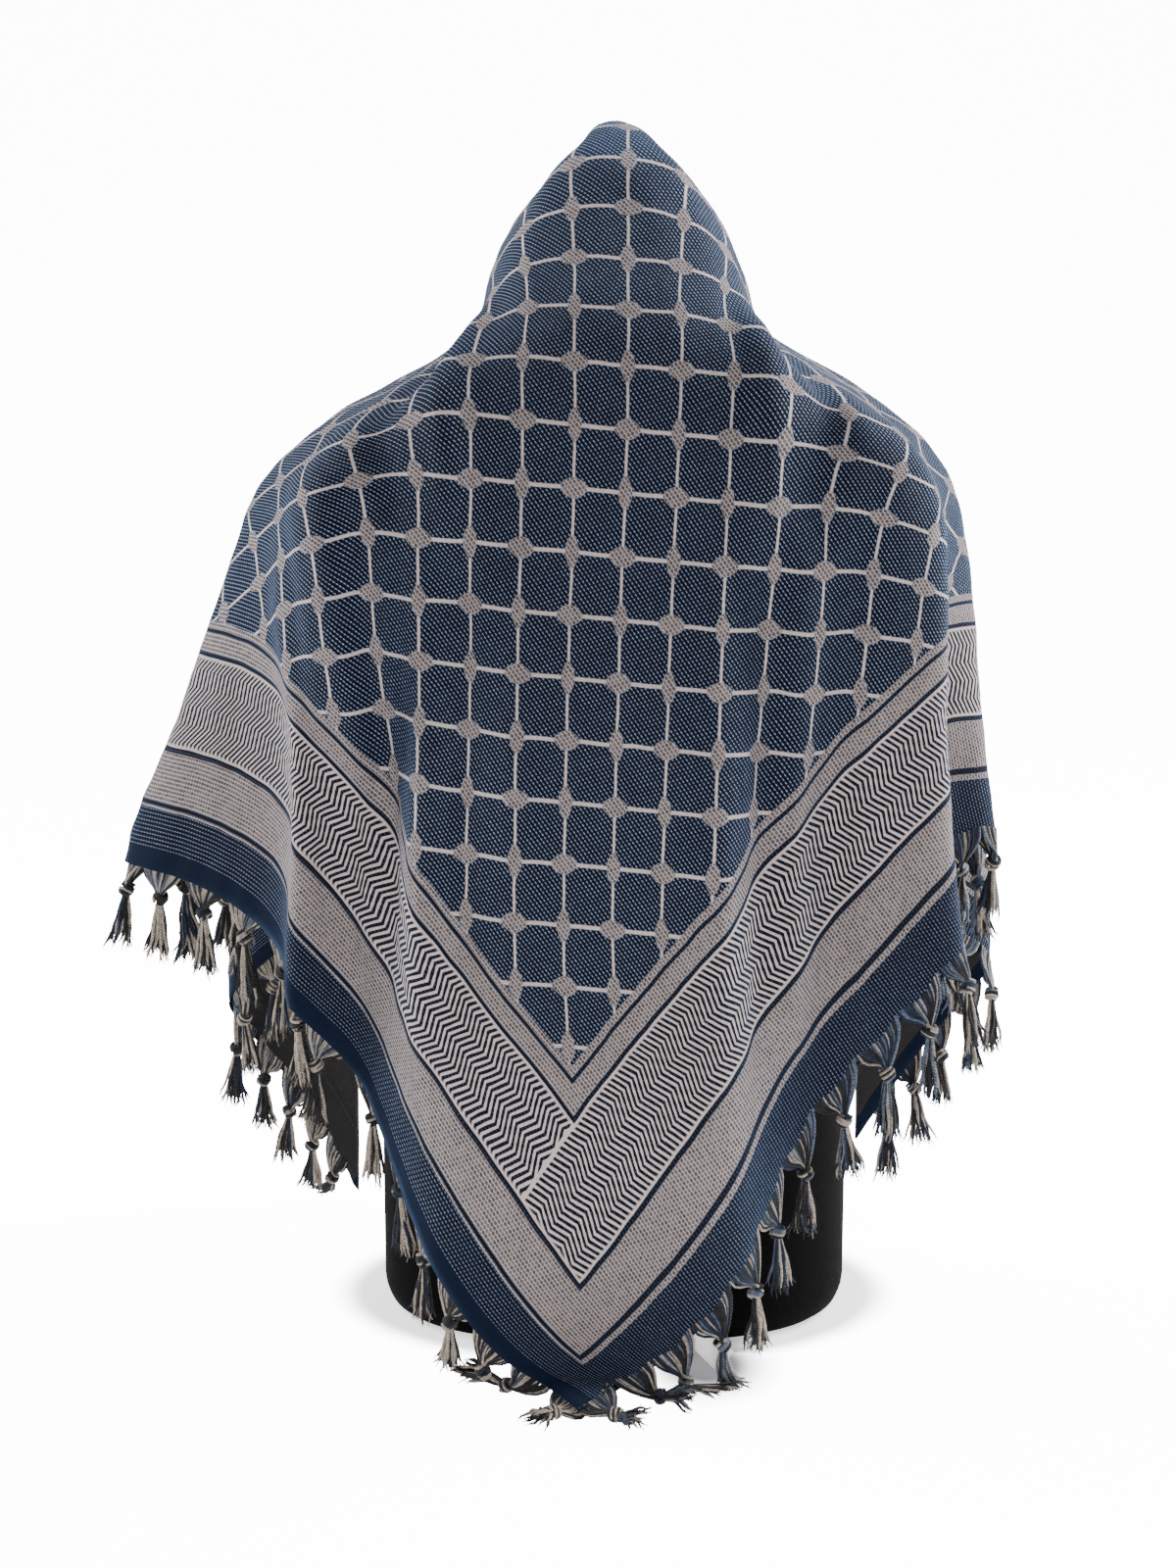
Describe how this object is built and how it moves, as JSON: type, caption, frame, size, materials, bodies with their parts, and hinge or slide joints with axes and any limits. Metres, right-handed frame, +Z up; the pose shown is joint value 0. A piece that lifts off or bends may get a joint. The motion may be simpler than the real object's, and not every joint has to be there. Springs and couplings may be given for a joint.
{
  "type": "keffiyeh headscarf on a bust form",
  "caption": "Square woven scarf folded on its diagonal and draped over the head of a plain bust form, open at the face, back corner to the floor, with knotted tassels on two edges.",
  "frame": {"origin": "middle of the flat base of the bust form, on the floor", "axes": "+Z up, +Y out of the open face side of the hood, +X to the right as the back of the scarf is looked at; the part is seen from -Y in the picture"},
  "size_m": [0.5785, 0.3925, 0.7678],
  "materials": {
    "navy_and_beige_cotton": "woven cotton, navy with beige net and borders",
    "reverse_cotton": "reverse of the same weave, mottled grey",
    "tassel_yarn": "two-tone cotton yarn",
    "white_label": "blank satin tape",
    "matte_black_form": "matte"
  },
  "bodies": {
    "root": {"outer_layer": "navy_and_beige_cotton", "inner_layer": "reverse_cotton", "right_fringe": "tassel_yarn", "left_fringe": "tassel_yarn", "care_label": "white_label", "bust_form": "matte_black_form"}
  },
  "joints": []
}
